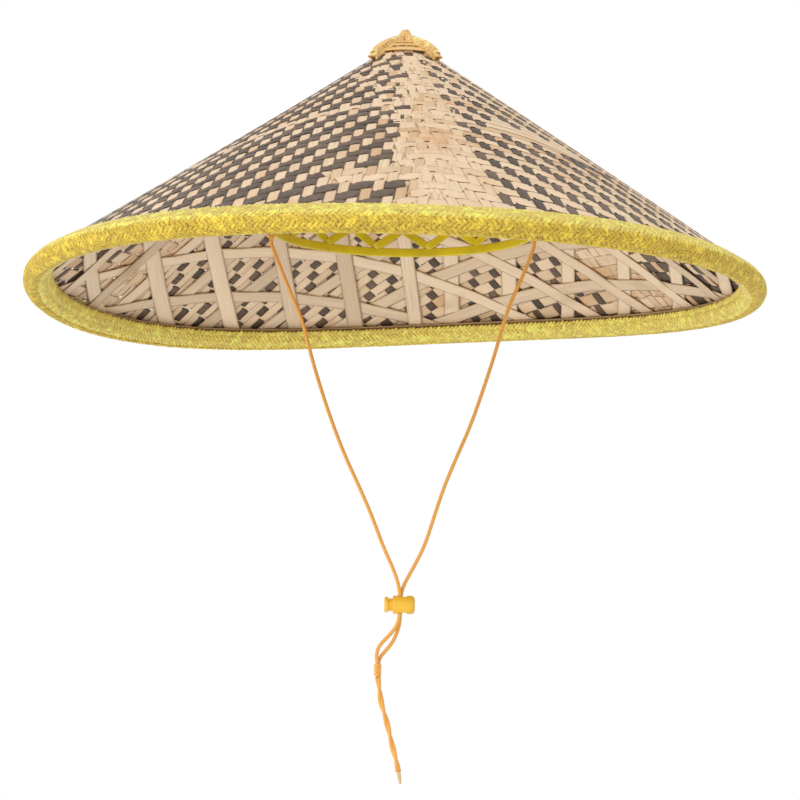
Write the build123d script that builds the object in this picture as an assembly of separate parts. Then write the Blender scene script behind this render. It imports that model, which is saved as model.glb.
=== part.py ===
from build123d import *
import os
from math import acos, asin, atan, cos, degrees, pi, radians, sin, tan

# A woven conical sun hat with a plastic head ring, a plaited finial and a chin cord with a
# sprung lock. Millimetres. The origin is the centre of the head ring's lower edge, +Z points
# to the tip and -Y to the front.

os.makedirs("parts", exist_ok=True)

# ---- driving dimensions ----

CONE_FALL = 0.7045          # drop of the wall for each millimetre of radius
TIP_Z = 133.0               # where the outer face of the wall would meet the axis
MOUTH_R = 12.0              # small hole in the weave, under the finial
WALL_R = 236.0              # cut edge of the weave, inside the binding

STRIP_T = 0.65              # one course of the outer mat
LATTICE_T = 0.40            # one lattice strip
LAYER_GAP = 0.05            # air between two courses
SECTOR_ARC = 120.0          # the mat is three equal sectors
FIRST_RIDGE = 6.0           # azimuth of the first ridge, from the front towards +X

LATTICE_W = 12.0
LATTICE_PITCH = 45.0        # distance between two parallel strips, along the slope
LATTICE_ROWS = 6
LATTICE_WAYS = 5            # strip directions, evenly spread round the cone
LATTICE_START = -7.2        # azimuth of the first direction, to the left of the front

RIM_R = 242.0               # half of the hat's overall width
RIM_Z = -45.6               # lowest point of the binding
LIP_R = 230.3               # inner edge of the binding, on the outer face
INNER_LIP_R = 225.2         # the same on the inner face
BINDING_T = 1.8

RING_R = 88.0               # outside of the head ring
RING_T = 1.6
BAND_H = 6.0                # lower band of the head ring
UPPER_BAND_Z = 58.0
UPPER_BAND_H = 4.5
SLAT_W = 5.5
SLAT_COUNT = 15             # slats leaning each way
SLAT_RUN = 80.0             # distance round the ring that one slat covers
SLAT_TURN = 1.0             # keeps both sets clear of the two cord loops

RIB_W = 6.0
FINIAL_R = 29.5
FINIAL_TOP_Z = 138.5

CORD_D = 2.4
CORD_TURN_Z = -5.0          # height of the two knots that the chin cord swings from
TAIL_D = 3.8
LOCK_X = 1.6
LOCK_Z = -245.0
STRAND_Y = 1.3              # half of the distance between the two cords in the lock

LOCK_R = 6.0
LOCK_LEFT = -4.8
LOCK_RIGHT = 9.7
BORE_R = 4.3
BORE_END = 8.0
PLUNGER_R = 4.15
PLUNGER_HEAD_R = 5.15
PLUNGER_TRAVEL = 3.0
SLOT_HALF_Y = 3.1

SLOPE = atan(CONE_FALL)
LEAN = cos(SLOPE)           # radius for each millimetre along the slope


def wall_z(radius, depth=0.0):
    """Height of the wall at a radius, at a depth below its outer face."""
    return TIP_Z - CONE_FALL * radius - depth / LEAN


def at_azimuth(shape, azimuth):
    """Turn a shape made at the front (-Y) round to an azimuth, positive towards +X."""
    return shape.rotate(Axis.Z, azimuth)


def section(points):
    """A flat face in the XZ plane from (radius, height) pairs."""
    return make_face(Polyline(*[(r, 0, z) for r, z in points], close=True))


def save(name, *solids):
    """Write one node, as one solid or as a group of separate solids."""
    found = [s for shape in solids for s in shape.solids()]
    shape = found[0] if len(found) == 1 else Compound(children=found)
    shape.label = name
    export_step(shape, f"parts/{name}.step")
    print(f"{name}: {len(found)} solid(s), {sum(s.volume for s in found):.1f} mm3")


# ---- the outer mat: two courses of flat strips in each sector ----

def course(depth, start, arc=SECTOR_ARC):
    outline = [
        (MOUTH_R, wall_z(MOUTH_R, depth)),
        (WALL_R, wall_z(WALL_R, depth)),
        (WALL_R, wall_z(WALL_R, depth + STRIP_T)),
        (MOUTH_R, wall_z(MOUTH_R, depth + STRIP_T)),
    ]
    swept = revolve(section(outline), Axis.Z, revolution_arc=arc)
    return at_azimuth(swept, start - 90)


SECTOR_GAP = 0.02
for name, start in (
    ("right", FIRST_RIDGE),
    ("back", FIRST_RIDGE + SECTOR_ARC),
    ("left", FIRST_RIDGE + 2 * SECTOR_ARC),
):
    clear_arc = SECTOR_ARC - SECTOR_GAP
    save(f"dark_strips_{name}", course(0.0, start, clear_arc))
    save(f"natural_strips_{name}", course(STRIP_T + LAYER_GAP, start, clear_arc))

MAT_T = 2 * STRIP_T + LAYER_GAP

# ---- the inner lattice: wide strips in five directions, one thin layer each ----


def strip_edge(reach, azimuths):
    """Plan view of a straight line on the unrolled cone, its foot at a reach from the tip."""
    points = []
    for azimuth in azimuths:
        radius = reach * LEAN / cos(LEAN * azimuth)
        points.append((radius * sin(azimuth), -radius * cos(azimuth)))
    return points


EDGE_POINTS = 11
CUT_LOW_Z = -60.0           # the strips' plans are extruded right through the wall
CUT_HEIGHT = 200.0


def plan_outline(reach):
    """Outline of one lattice strip from above, running past the edge of the wall."""
    over = (WALL_R + LATTICE_W) / LEAN
    sides = []
    for edge, way in ((reach - LATTICE_W / 2, 1), (reach + LATTICE_W / 2, -1)):
        half = acos(edge / over) / LEAN
        steps = [way * half * (2 * k / (EDGE_POINTS - 1) - 1) for k in range(EDGE_POINTS)]
        sides.append(strip_edge(edge, steps))
    first = Spline(*sides[0])
    second = Spline(*sides[1])
    end_a = Line(first @ 1, second @ 0)
    end_b = Line(second @ 1, first @ 0)
    return make_face([first, end_a, second, end_b])


def lattice_layer(way):
    depth = MAT_T + LAYER_GAP + way * (LATTICE_T + LAYER_GAP)
    outline = [
        (MOUTH_R, wall_z(MOUTH_R, depth)),
        (WALL_R, wall_z(WALL_R, depth)),
        (WALL_R, wall_z(WALL_R, depth + LATTICE_T)),
        (MOUTH_R, wall_z(MOUTH_R, depth + LATTICE_T)),
    ]
    return revolve(section(outline), Axis.Z)


strip_plans = []
for row in range(LATTICE_ROWS):
    plan = plan_outline((row + 0.5) * LATTICE_PITCH)
    strip_plans.append(extrude(Pos(0, 0, CUT_LOW_Z) * plan, amount=CUT_HEIGHT))

for way, letter in enumerate("abcde"):
    layer = lattice_layer(way)
    azimuth = LATTICE_START + way * 360 / LATTICE_WAYS
    strips = [layer & at_azimuth(prism, azimuth) for prism in strip_plans]
    save(f"lattice_strips_{letter}", *strips)

WALL_T = MAT_T + LATTICE_WAYS * (LATTICE_T + LAYER_GAP)

# ---- the rim: a round core hoop, a flat inner hoop, and the braided binding over them ----

CORE_HOOP_R = 2.0
CORE_HOOP_AT = (236.2, -41.2)       # radius and height of the hoop's centre line
core = Pos(CORE_HOOP_AT[0], 0, CORE_HOOP_AT[1]) * Rot(90, 0, 0) * Circle(CORE_HOOP_R)
save("rim_core_hoop", revolve(core, Axis.Z))

HOOP_IN_R = 229.0
HOOP_OUT_R = 234.0
HOOP_T = 1.2
hoop_depth = WALL_T + 0.1
save("rim_inner_hoop", revolve(section([
    (HOOP_IN_R, wall_z(HOOP_IN_R, hoop_depth)),
    (HOOP_OUT_R, wall_z(HOOP_OUT_R, hoop_depth)),
    (HOOP_OUT_R, wall_z(HOOP_OUT_R, hoop_depth + HOOP_T)),
    (HOOP_IN_R, wall_z(HOOP_IN_R, hoop_depth + HOOP_T)),
]), Axis.Z))

SHOULDER_R = 238.5          # where the flat outer lip turns into the roll
SHOULDER_Z = -33.0
BULGE_Z = -38.6
LIP_T = 1.1
BINDING_AIR = 0.1


def binding_section():
    """The braided tape, folded round the edge: a lip on each face and a round roll between."""
    lip_top = (LIP_R, 0, wall_z(LIP_R) + BINDING_AIR)
    lip_edge = (LIP_R, 0, wall_z(LIP_R) + BINDING_AIR + LIP_T)
    shoulder = (SHOULDER_R, 0, SHOULDER_Z)
    bulge = (RIM_R, 0, BULGE_Z)
    bottom = (236.5, 0, RIM_Z)
    under = (229.2, 0, -42.2)
    inner_lip = (INNER_LIP_R, 0, -34.4)
    inner_edge = (INNER_LIP_R + 1.4, 0, -34.7)
    outside = [
        Line(lip_edge, shoulder),
        ThreePointArc(shoulder, bulge, bottom),
        ThreePointArc(bottom, under, inner_lip),
        Line(inner_lip, inner_edge),
    ]
    hollow_bottom = (bottom[0], 0, RIM_Z + BINDING_T)
    hollow_top = (SHOULDER_R - 0.7, 0, wall_z(SHOULDER_R - 0.7) + BINDING_AIR)
    inside = [
        ThreePointArc(inner_edge, (230.6, 0, -41.0), hollow_bottom),
        ThreePointArc(hollow_bottom, (RIM_R - BINDING_T, 0, BULGE_Z), hollow_top),
        Line(hollow_top, lip_top),
        Line(lip_top, lip_edge),
    ]
    return make_face(outside + inside)


save("rim_binding", revolve(binding_section(), Axis.Z))

STITCH_COUNT = 96
STITCH = (5.0, 0.8, 0.5)
STITCH_R = 233.2
STITCH_LIFT = 0.4
LIP_SLOPE = atan((wall_z(LIP_R) + BINDING_AIR + LIP_T - SHOULDER_Z) / (SHOULDER_R - LIP_R))
stitch_z = SHOULDER_Z + (SHOULDER_R - STITCH_R) * tan(LIP_SLOPE) + STITCH_LIFT
stitch = Pos(0, -STITCH_R, stitch_z) * Rot(degrees(LIP_SLOPE), 0, 0) * Box(*STITCH)
save("binding_stitches", *[
    at_azimuth(stitch, k * 360 / STITCH_COUNT) for k in range(STITCH_COUNT)
])

# ---- the finial: four plaited ribs, three rungs between each pair, and a top knot ----

RIB_IN_R = 5.0
RIB_LIFT = 0.6
RIB_ROUND = 1.6
RIB_CREST = (               # radius and height along the bulging back of a rib
    (RIB_IN_R, 136.2), (9.2, 134.9), (15.7, 131.4), (20.4, 128.0), (25.1, 124.0),
    (28.0, 120.6),
)
rib_crest = Spline(*[(radius, 0, height) for radius, height in RIB_CREST])
rib_foot = Polyline(
    rib_crest @ 0,
    (RIB_IN_R, 0, wall_z(RIB_IN_R) + RIB_LIFT),
    (FINIAL_R, 0, wall_z(FINIAL_R) + RIB_LIFT),
    rib_crest @ 1,
)
rib = extrude(make_face([rib_crest, rib_foot]), amount=RIB_W / 2, both=True)
rib = fillet(rib.edges().filter_by(GeomType.BSPLINE), RIB_ROUND)
for k, name in enumerate(("front_right", "back_right", "back_left", "front_left")):
    save(f"finial_rib_{name}", at_azimuth(rib, 45 + 90 * k - 90))


def rung(radius, width):
    """One thin strip that follows the cone between two ribs."""
    thickness = 0.8
    lift = 1.1
    half = width * LEAN / 2
    outline = [
        (radius - half, wall_z(radius - half) + lift),
        (radius + half, wall_z(radius + half) + lift),
        (radius + half, wall_z(radius + half) + lift + thickness / LEAN),
        (radius - half, wall_z(radius - half) + lift + thickness / LEAN),
    ]
    margin = degrees(asin((RIB_W / 2 + 0.1) / (radius - half)))
    arc = 90 - 2 * margin
    return at_azimuth(revolve(section(outline), Axis.Z, revolution_arc=arc), -45 + margin - 90)


RUNGS = ((9.2, 1.8), (13.4, 2.2), (19.6, 4.6))
for k, name in enumerate(("front", "right", "back", "left")):
    save(f"finial_rungs_{name}", *[at_azimuth(rung(r, w), 90 * k) for r, w in RUNGS])

KNOT_R = 4.7
KNOT_ROUND = 3.4
KNOT_LOW_Z = 129.0
knot = Cylinder(
    KNOT_R, FINIAL_TOP_Z - KNOT_LOW_Z, align=(Align.CENTER, Align.CENTER, Align.MIN)
)
knot = fillet(knot.edges().sort_by(Axis.Z)[-1], KNOT_ROUND)
save("finial_knot", Pos(0, 0, KNOT_LOW_Z) * knot)

# ---- the head ring: two bands joined by slats that lean both ways ----


def hoop_band(low, height, inner, outer):
    return Pos(0, 0, low) * (
        Cylinder(outer, height, align=(Align.CENTER, Align.CENTER, Align.MIN))
        - Cylinder(inner, height, align=(Align.CENTER, Align.CENTER, Align.MIN))
    )


save("head_ring_lower_band", hoop_band(0, BAND_H, RING_R - RING_T, RING_R))
save("head_ring_upper_band", hoop_band(UPPER_BAND_Z, UPPER_BAND_H, RING_R - RING_T, RING_R))

slat_low = BAND_H + 0.05
slat_height = UPPER_BAND_Z - 0.05 - slat_low
slat_lean = atan(slat_height / SLAT_RUN)
slat_reach = RING_R * sin(SLAT_RUN / RING_R / 2)
foot = SLAT_W / sin(slat_lean) / 2


def slats(way, inner, outer):
    """Thin slats bent round the ring, all leaning the same way."""
    wall = hoop_band(slat_low, slat_height, inner, outer)
    low_x = -way * slat_reach
    high_x = way * slat_reach
    top = slat_low + slat_height
    bar = make_face(Polyline(
        (low_x - foot, -RING_R - 5, slat_low),
        (low_x + foot, -RING_R - 5, slat_low),
        (high_x + foot, -RING_R - 5, top),
        (high_x - foot, -RING_R - 5, top),
        close=True,
    ))
    bar = extrude(bar, amount=RING_R, dir=(0, 1, 0))
    one = wall & bar
    return [
        at_azimuth(one, k * 360 / SLAT_COUNT + way * SLAT_TURN) for k in range(SLAT_COUNT)
    ]


SLAT_T = 0.7
save("head_ring_slats_left", *slats(-1, RING_R - RING_T + 0.05, RING_R - RING_T + 0.05 + SLAT_T))
save("head_ring_slats_right", *slats(1, RING_R - 0.05 - SLAT_T, RING_R - 0.05))

TIE_COUNT = 5
TIE_START = 12.0            # midway between two slats' upper ends
TIE_W = 2.4
TIE_T = 0.7
TIE_AIR = 0.1
tie_low = UPPER_BAND_Z - TIE_AIR - TIE_T
tie_high = wall_z(RING_R + TIE_AIR + TIE_T + 0.1, WALL_T) - TIE_AIR
tie_outer = Box(TIE_W, RING_T + 2 * TIE_AIR + 2 * TIE_T, tie_high - tie_low)
tie_inner = Box(TIE_W, RING_T + 2 * TIE_AIR, tie_high - tie_low - 2 * TIE_T)
tie = Pos(0, -RING_R + RING_T / 2, (tie_low + tie_high) / 2) * (tie_outer - tie_inner)
save("head_ring_ties", *[at_azimuth(tie, TIE_START + k * 360 / TIE_COUNT) for k in range(TIE_COUNT)])

# ---- where the chin cord is tied: a loop round the lower band and a knot under it ----

KNOT_BALL_R = 3.0
LOOP_WIRE = CORD_D - 0.3


def band_knot(side):
    mid = side * (RING_R - RING_T / 2)
    outer = Box(RING_T + 0.3 + 2 * LOOP_WIRE, LOOP_WIRE, BAND_H + 0.3 + 2 * LOOP_WIRE)
    inner = Box(RING_T + 0.3, LOOP_WIRE, BAND_H + 0.3)
    loop = fillet((outer - inner).edges().filter_by(Axis.Y), 0.6)
    ball = Pos(0, 0, CORD_TURN_Z - BAND_H / 2) * Sphere(KNOT_BALL_R)
    return Pos(mid, 0, BAND_H / 2) * (loop + ball)


save("cord_knot_left", band_knot(-1))
save("cord_knot_right", band_knot(1))

# ---- the chin cord: every route is straight runs joined by tangent arcs ----

START_Z = CORD_TURN_Z - KNOT_BALL_R - 0.3
LEG_LEFT = [
    (-86.9, 0.0, START_Z), (-81.4, 0.0, -22.0), (-74.0, 0.0, -39.5), (-65.2, 0.0, -59.5),
    (-60.2, 0.0, -79.0), (-54.2, 0.0, -99.0), (-46.0, -0.2, -123.0), (-36.3, -0.4, -147.5),
    (-26.4, -0.7, -168.0), (-17.6, -1.0, -187.5), (-10.2, -1.2, -207.0), (-2.8, -1.3, -222.5),
    (0.6, -1.3, -232.5), (1.5, -1.3, -239.4), (LOCK_X, -STRAND_Y, LOCK_Z),
]
LEG_RIGHT = [
    (86.9, 0.0, START_Z), (80.8, 0.0, -25.5), (73.4, 0.0, -41.0), (67.2, 0.0, -59.0),
    (62.3, 0.0, -78.0), (54.6, 0.0, -102.5), (46.6, 0.2, -126.5), (37.8, 0.4, -147.0),
    (29.4, 0.7, -167.5), (23.0, 1.0, -187.5), (17.2, 1.2, -206.5), (9.6, 1.3, -221.5),
    (3.8, 1.3, -232.0), (1.8, 1.3, -239.4), (LOCK_X, STRAND_Y, LOCK_Z),
]
STRAND_LEFT = [
    (LOCK_X, -STRAND_Y, LOCK_Z - 0.1), (1.5, -1.3, -254.0), (-1.6, -1.3, -261.0),
    (-7.2, -1.3, -267.0), (-11.9, -1.3, -272.0), (-13.5, -1.3, -278.0), (-12.5, -1.3, -283.6),
    (-12.5, -1.3, -287.6), (-12.2, -1.3, -291.4),
]
STRAND_RIGHT = [
    (LOCK_X, STRAND_Y, LOCK_Z - 0.1), (2.0, 1.3, -253.5), (0.6, 1.3, -261.5),
    (-2.6, 1.3, -269.0), (-7.2, 1.3, -274.8), (-11.2, 1.3, -279.2), (-12.3, 1.3, -285.6),
    (-12.2, 1.3, -291.4),
]
TAIL = [
    (-12.2, 0.0, -291.6), (-11.0, 0.0, -300.0), (-9.6, 0.0, -309.5), (-6.4, 0.0, -319.0),
    (-4.0, 0.0, -328.5), (-1.8, 0.0, -337.5), (0.8, 0.0, -346.0), (1.9, 0.0, -352.0),
]


def arc_radii(points):
    """One radius for each corner, as large as its two runs allow."""
    spots = [Vector(*p) for p in points]
    radii = []
    for before, here, after in zip(spots, spots[1:], spots[2:]):
        into = here - before
        out = after - here
        half_turn = radians(into.get_angle(out)) / 2
        radii.append(0.45 * min(into.length, out.length) / tan(half_turn))
    return radii


def tube(points, diameter, name):
    """A round cord along a route, with its volume compared with section times length."""
    radii = arc_radii(points)
    path = FilletPolyline(*points, radius=radii)
    start = Plane(origin=path @ 0, z_dir=path % 0)
    solid = sweep(start * Circle(diameter / 2), path=path)
    ideal = pi * diameter ** 2 / 4 * path.length
    print(
        f"{name}: length {path.length:.1f} mm, least radius {min(radii):.1f} mm,",
        f"volume over section x length {solid.volume / ideal:.4f}",
    )
    return solid


save("cord_leg_left", tube(LEG_LEFT, CORD_D, "cord_leg_left"))
save("cord_leg_right", tube(LEG_RIGHT, CORD_D, "cord_leg_right"))
save("cord_strand_left", tube(STRAND_LEFT, CORD_D, "cord_strand_left"))
save("cord_strand_right", tube(STRAND_RIGHT, CORD_D, "cord_strand_right"))
save("cord_tail", tube(TAIL, TAIL_D, "cord_tail"))

WHIP_TURNS = 4
WHIP_PITCH = 1.9
WHIP_T = 0.6
WHIP_X = -12.35
WHIP_TOP_Z = -283.6
WHIP_TURN_GAP = 0.2
whip_long = CORD_D + 2 * STRAND_Y + 0.5
whip_wide = CORD_D + 1.2
whip_inner = SlotOverall(whip_long, whip_wide, rotation=90)
whip_outer = SlotOverall(whip_long + 2 * WHIP_T, whip_wide + 2 * WHIP_T, rotation=90)
whip_turn = extrude(whip_outer - whip_inner, amount=WHIP_TURN_GAP - WHIP_PITCH)
save("cord_whipping", *[
    Pos(WHIP_X, 0, WHIP_TOP_Z - k * WHIP_PITCH) * whip_turn for k in range(WHIP_TURNS)
])

TIP_L = 8.0
TIP_WIDE_R = 1.6
TIP_END_R = 0.8
tip_plane = Plane(origin=(1.93, 0, -352.1), z_dir=(0.18, 0, -1))
tip = Cone(TIP_WIDE_R, TIP_END_R, TIP_L, align=(Align.CENTER, Align.CENTER, Align.MIN))
save("cord_tip", tip_plane * tip)

# ---- the cord lock: a barrel with a blind bore, a plunger with a hole, and a spring ----


def along_x(shape, start):
    """Lay a shape made along +Z down along +X, with its base at a distance from the cords."""
    return Pos(LOCK_X + start, 0, LOCK_Z) * Rot(0, 90, 0) * shape


def rod(radius, length):
    return Cylinder(radius, length, align=(Align.CENTER, Align.CENTER, Align.MIN))


def cord_window(left, right):
    """The slot that both cords pass through, from top to bottom."""
    window = Box(right - left, 2 * SLOT_HALF_Y, 4 * LOCK_R)
    window = fillet(window.edges().filter_by(Axis.Z), 1.0)
    return Pos(LOCK_X + (left + right) / 2, 0, LOCK_Z) * window


barrel = rod(LOCK_R, LOCK_RIGHT - LOCK_LEFT)
barrel = fillet(barrel.edges().sort_by(Axis.Z)[-1], 2.6)
barrel = fillet(barrel.edges().sort_by(Axis.Z)[0], 0.8)
barrel = barrel - rod(BORE_R, BORE_END - LOCK_LEFT)
window_left = -CORD_D / 2 - 0.3
window_right = window_left + PLUNGER_TRAVEL + CORD_D + 0.6
save("lock_body", along_x(barrel, LOCK_LEFT) - cord_window(window_left, window_right))

stem_left = LOCK_LEFT - PLUNGER_TRAVEL - 0.1
head_t = 2.4
stem_right = window_right - PLUNGER_TRAVEL + 1.5
head = fillet(rod(PLUNGER_HEAD_R, head_t).edges().sort_by(Axis.Z)[0], 1.2)
plunger = along_x(head, stem_left - head_t) + along_x(
    rod(PLUNGER_R, stem_right - stem_left), stem_left
)
plunger = plunger - cord_window(window_left - PLUNGER_TRAVEL, window_right - PLUNGER_TRAVEL)
save("lock_plunger", plunger)

SPRING_R = 3.0
WIRE_R = 0.3
spring_length = BORE_END - stem_right - 2 * WIRE_R - 0.2
helix = Helix(pitch=spring_length / 4, height=spring_length, radius=SPRING_R)
coil = sweep(Plane(origin=helix @ 0, z_dir=helix % 0) * Circle(WIRE_R), path=helix)
save("lock_spring", along_x(coil, stem_right + WIRE_R + 0.1))
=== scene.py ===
import math

import bpy
import numpy as np
from bpy.props import FloatProperty, FloatVectorProperty, IntProperty, PointerProperty
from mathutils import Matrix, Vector


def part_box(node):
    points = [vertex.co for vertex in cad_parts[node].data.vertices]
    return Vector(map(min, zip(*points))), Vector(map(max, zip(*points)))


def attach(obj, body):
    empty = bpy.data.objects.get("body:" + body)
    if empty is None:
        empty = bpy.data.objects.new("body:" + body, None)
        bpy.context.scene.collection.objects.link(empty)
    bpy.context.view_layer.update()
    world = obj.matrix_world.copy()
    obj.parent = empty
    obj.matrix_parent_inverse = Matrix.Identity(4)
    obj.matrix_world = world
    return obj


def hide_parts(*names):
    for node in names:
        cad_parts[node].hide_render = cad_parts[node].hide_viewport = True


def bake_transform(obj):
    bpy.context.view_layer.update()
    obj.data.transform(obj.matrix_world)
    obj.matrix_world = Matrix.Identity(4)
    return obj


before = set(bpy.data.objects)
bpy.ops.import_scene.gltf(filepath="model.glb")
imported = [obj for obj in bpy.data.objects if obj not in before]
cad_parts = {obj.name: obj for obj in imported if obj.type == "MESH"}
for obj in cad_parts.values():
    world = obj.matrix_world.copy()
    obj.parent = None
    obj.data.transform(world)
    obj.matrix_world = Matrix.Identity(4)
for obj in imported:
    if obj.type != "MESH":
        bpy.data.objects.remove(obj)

# A woven conical sun hat: an outer mat of flat bamboo strips, an open lattice inside it, a
# braided straw binding round the rim, a plaited finial, a plastic head ring and a chin cord
# with a sprung lock. Metres; an azimuth is measured from the front (-Y) towards +X.

bl_info = {
    "name": "Conical hat",
    "version": (1, 0, 0),
    "blender": (4, 5, 0),
    "location": "3D View > Sidebar > Hat",
    "description": "Builds a woven conical hat round its CAD frame",
    "category": "Add Mesh",
}

MM = 0.001
SEED = 20

# ---- the cone that every strip lies on ----

CONE_FALL = 0.7045
TIP_Z = 133.0 * MM
SLOPE = math.atan(CONE_FALL)
LEAN = math.cos(SLOPE)              # radius for each metre along the slope
RIM_R = 242.0 * MM
WALL_R = 236.0 * MM
SLANT = WALL_R / LEAN               # from the tip to the cut edge, along the slope
RIM_SHIFT = -4.6 * MM
# Waves round the rim, then the height of the cosine and of the sine in mm.
RIM_WAVES = ((1, 1.0, 2.2), (2, 2.8, -4.1), (3, -2.4, 1.3))


def outward(azimuths):
    """Level directions away from the axis."""
    return np.stack([np.sin(azimuths), -np.cos(azimuths), 0 * azimuths], axis=-1)


def sideways(azimuths):
    """Level directions round the hat, towards a growing azimuth."""
    return np.stack([np.cos(azimuths), np.sin(azimuths), 0 * azimuths], axis=-1)


def whole_turn(count):
    """Azimuths at even steps once round the hat."""
    return np.linspace(0, 2 * math.pi, count + 1)[:-1]


def settle(points):
    """The slow wave of a hand-made rim: nothing at the tip, most at the edge."""
    radius = np.hypot(points[:, 0], points[:, 1])
    azimuth = np.arctan2(points[:, 0], -points[:, 1])
    share = (radius / RIM_R) ** 2
    moved = points.copy()
    moved[:, 0] += RIM_SHIFT * share
    for waves, cosine, sine in RIM_WAVES:
        moved[:, 2] += MM * share * cosine * np.cos(waves * azimuth)
        moved[:, 2] += MM * share * sine * np.sin(waves * azimuth)
    return moved


def on_wall(slant, turn, lift):
    """Points and normals on the cone, from distance below the tip and unrolled angle."""
    azimuth = turn / LEAN
    radius = slant * LEAN
    out = outward(azimuth)
    normal = math.sin(SLOPE) * out + (0.0, 0.0, math.cos(SLOPE))
    base = radius[:, None] * out
    base[:, 2] = TIP_Z - CONE_FALL * radius
    return settle(base + normal * np.reshape(lift, (-1, 1))), normal


def on_line(ray_turn, reach, along, lift):
    """Points on a straight line of the unrolled cone, square to a ray at a reach from the tip."""
    slant = np.hypot(reach, along)
    turn = ray_turn + np.arctan2(along, reach)
    return on_wall(slant, turn, lift)


# ---- meshes ----


def unit(vectors):
    return vectors / np.linalg.norm(vectors, axis=-1, keepdims=True)


# Half-width and half-height sections of a strip: lens, rounded bar and round wire.
ROUND_ANGLES = np.arange(12) * math.pi / 6
ROUND = 0.5 * np.stack([-np.cos(ROUND_ANGLES), np.sin(ROUND_ANGLES)], axis=1)
LENS = np.array([(-0.5, 0), (-0.36, 0.5), (0.36, 0.5), (0.5, 0), (0.36, -0.5), (-0.36, -0.5)])
ROUNDED = np.array([
    (-0.5, -0.2), (-0.5, 0.2), (-0.44, 0.42), (-0.34, 0.5), (0.34, 0.5), (0.44, 0.42),
    (0.5, 0.2), (0.5, -0.2), (0.44, -0.42), (0.34, -0.5), (-0.34, -0.5), (-0.44, -0.42),
])


def tube_quads(count, sides, loop=False):
    """The quads of a tube of rings. Its ends are closed unless it is a loop."""
    here = np.arange(count if loop else count - 1)[:, None] * sides
    there = (here + sides) % (count * sides)
    side = np.arange(sides)[None]
    after = (side + 1) % sides
    walls = np.stack([here + side, here + after, there + after, there + side], axis=2)
    quads = [walls.reshape(-1, 4)]
    if not loop:
        last = (count - 1) * sides
        for k in range(1, sides - 2, 2):
            quads.append([[k + 2, k + 1, k, 0]])
            quads.append([[last, last + k, last + k + 1, last + k + 2]])
    return np.concatenate(quads)


class Bundle:
    """Collects strips, each a closed ribbon with a rounded section, as one mesh."""

    def __init__(self, profile=LENS):
        self.profile = np.asarray(profile)
        self.points = []
        self.quads = []
        self.uvs = []
        self.tones = []
        self.total = 0

    def strip(self, centre, normal, width, thick, tone=0.5, start=0.0, loop=False):
        """One strip along a line of centres. Width and thickness may change along it."""
        count = len(centre)
        sides = len(self.profile)
        if loop:
            run = unit(np.roll(centre, -1, axis=0) - np.roll(centre, 1, axis=0))
        else:
            run = unit(np.gradient(centre, axis=0))
        across = unit(np.cross(run, normal))
        up = np.cross(across, run)
        wide = np.broadcast_to(width, count)[:, None, None] * self.profile[None, :, :1]
        high = np.broadcast_to(thick, count)[:, None, None] * self.profile[None, :, 1:]
        ring = centre[:, None] + wide * across[:, None] + high * up[:, None]
        steps = np.linalg.norm(np.diff(centre, axis=0), axis=1)
        along = np.concatenate([[0.0], np.cumsum(steps)]) + start
        uv = np.empty((count, sides, 2))
        uv[:, :, 0] = wide[:, :, 0] + start
        uv[:, :, 1] = along[:, None]
        self.quads.append(tube_quads(count, sides, loop) + self.total)
        self.points.append(ring.reshape(-1, 3))
        self.uvs.append(uv.reshape(-1, 2))
        self.tones.append(np.full(count * sides, tone))
        self.total += count * sides

    def piece(self, name, material):
        return mesh_piece(
            name, np.concatenate(self.points), np.concatenate(self.quads), material,
            np.concatenate(self.uvs), np.concatenate(self.tones),
        )


def mesh_piece(name, points, quads, material, uvs=None, tones=None):
    """A smooth mesh object of quads, at the origin."""
    mesh = bpy.data.meshes.new(name)
    mesh.vertices.add(len(points))
    mesh.vertices.foreach_set("co", np.asarray(points, np.float32).ravel())
    mesh.loops.add(quads.size)
    mesh.loops.foreach_set("vertex_index", quads.ravel().astype(np.int32))
    mesh.polygons.add(len(quads))
    mesh.polygons.foreach_set("loop_start", np.arange(0, quads.size, 4, dtype=np.int32))
    mesh.polygons.foreach_set("use_smooth", np.ones(len(quads), bool))
    mesh.update(calc_edges=True)
    if uvs is not None:
        layer = mesh.uv_layers.new(name="run")
        layer.data.foreach_set("uv", uvs[quads.ravel()].astype(np.float32).ravel())
    if tones is not None:
        tone = mesh.attributes.new("tone", "FLOAT", "POINT")
        tone.data.foreach_set("value", tones.astype(np.float32))
    mesh.materials.append(material)
    return link(bpy.data.objects.new(name, mesh))


def link(obj):
    bpy.context.scene.collection.objects.link(obj)
    return obj


def keep(piece, body, slot, *nodes):
    """A finished piece rides on its body and stands for its CAD nodes."""
    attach(piece, body)
    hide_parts(*nodes)
    return piece


# ---- materials ----


def shade_of(colour, share):
    """A colour made darker, or lighter when the share is over one."""
    return tuple(min(1.0, channel * share) for channel in colour)


def shades(colour, low, high):
    """A colour made darker, the colour itself, and the colour made lighter."""
    return shade_of(colour, low), tuple(colour), shade_of(colour, high)


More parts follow.
